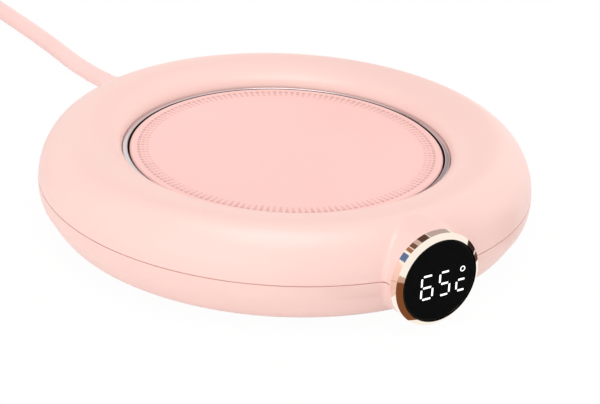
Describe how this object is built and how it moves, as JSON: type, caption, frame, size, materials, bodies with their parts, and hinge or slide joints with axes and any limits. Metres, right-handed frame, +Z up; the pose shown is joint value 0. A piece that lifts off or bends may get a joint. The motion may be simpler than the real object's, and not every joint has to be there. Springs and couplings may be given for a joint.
{
  "type": "electric mug warmer",
  "caption": "Round ring-shaped electric mug warmer with a sprung heating plate, a round digital display key, a mains cord and its plug.",
  "frame": {"origin": "on the table under the middle of the round housing", "axes": "+Z up; the display faces -Y and the cord leaves towards +Y; +X is to the display's right as seen by someone who faces it"},
  "size_m": [0.1469, 0.29, 0.024],
  "materials": {
    "housing_pink": "satin-gloss moulded plastic",
    "plate_pink": "fine satin coating on aluminium",
    "trim_chrome": "polished bright ring",
    "bezel_gold": "polished pale gold plating",
    "lens_black": "polished smoked plastic",
    "digit_white": "translucent light window",
    "cord_pink": "soft flexible jacket",
    "black_plastic": "moulded, matt",
    "white_plastic": "moulded, matt",
    "foot_rubber": "matt rubber",
    "zinc_steel": "zinc-plated screws",
    "spring_steel": "drawn spring wire",
    "board_green": "solder-masked board",
    "heater_foil": "etched foil heater in amber film",
    "glass_wool": "pressed fibre insulation",
    "capacitor_red": "dipped resin box",
    "can_blue": "sleeved can",
    "fuse_tan": "moulded tube",
    "lead_red": "silicone-insulated lead",
    "blade_nickel": "nickel-plated brass blades"
  },
  "bodies": {
    "housing": {"top_shell": "housing_pink", "bottom_shell": "housing_pink", "trim_ring": "trim_chrome", "rubber_feet": "foot_rubber", "case_screws": "zinc_steel", "gravity_switch": "black_plastic", "main_board": "board_green", "board_screws": "zinc_steel", "film_capacitor": "capacitor_red", "smoothing_capacitor": "can_blue", "rectifier": "black_plastic", "control_chip": "black_plastic", "triac": "black_plastic", "terminal_block": "white_plastic", "board_fuse": "fuse_tan", "heater_leads": "lead_red", "mains_leads": "lead_red", "ribbon_cable": "white_plastic", "display_bezel": "bezel_gold", "tact_switch": "black_plastic", "switch_board": "board_green", "cable_clamp": "white_plastic", "clamp_screws": "zinc_steel", "cord_inner": "cord_pink", "strain_relief": "cord_pink", "cord_lead": "cord_pink", "cord_coil": "cord_pink", "cord_tail": "cord_pink", "coil_tie": "cord_pink", "plug_body": "cord_pink", "plug_blades": "blade_nickel", "plate_spring_1": "spring_steel", "plate_spring_2": "spring_steel", "plate_spring_3": "spring_steel", "plate_spring_4": "spring_steel"},
    "plate": {"heating_plate": "plate_pink", "heater_film": "heater_foil", "insulation_pad": "glass_wool", "plate_carrier": "white_plastic", "carrier_screws": "zinc_steel", "temperature_sensor": "zinc_steel", "sensor_clip": "spring_steel", "thermal_fuse": "fuse_tan"},
    "display_key": {"display_lens": "lens_black", "display_digits": "digit_white", "display_cup": "black_plastic", "led_module": "white_plastic", "display_board": "board_green"},
    "gravity_plunger": {"gravity_switch_plunger": "white_plastic"},
    "tact_plunger": {"tact_switch_plunger": "white_plastic"}
  },
  "joints": [
    {"name": "plate_press", "type": "slide", "parent": "housing", "child": "plate", "axis": [0, 0, -1], "range_m": [0, 0.0012], "stiffness_N_per_m": 900, "springref_m": -0.0012, "deforming": ["plate_spring_1", "plate_spring_2", "plate_spring_3", "plate_spring_4", "heater_leads"]},
    {"name": "gravity_switch_press", "type": "slide", "parent": "housing", "child": "gravity_plunger", "axis": [0, 0, -1], "range_m": [0, 0.0012]},
    {"name": "display_press", "type": "slide", "parent": "housing", "child": "display_key", "axis": [0, 1, 0], "range_m": [0, 0.0005], "stiffness_N_per_m": 1800, "springref_m": -0.0004},
    {"name": "tact_switch_press", "type": "slide", "parent": "housing", "child": "tact_plunger", "axis": [0, 1, 0], "range_m": [0, 0.0005]}
  ],
  "couplings": [
    {"joint": "gravity_switch_press", "follows": "plate_press", "ratio": 1},
    {"joint": "tact_switch_press", "follows": "display_press", "ratio": 1}
  ]
}
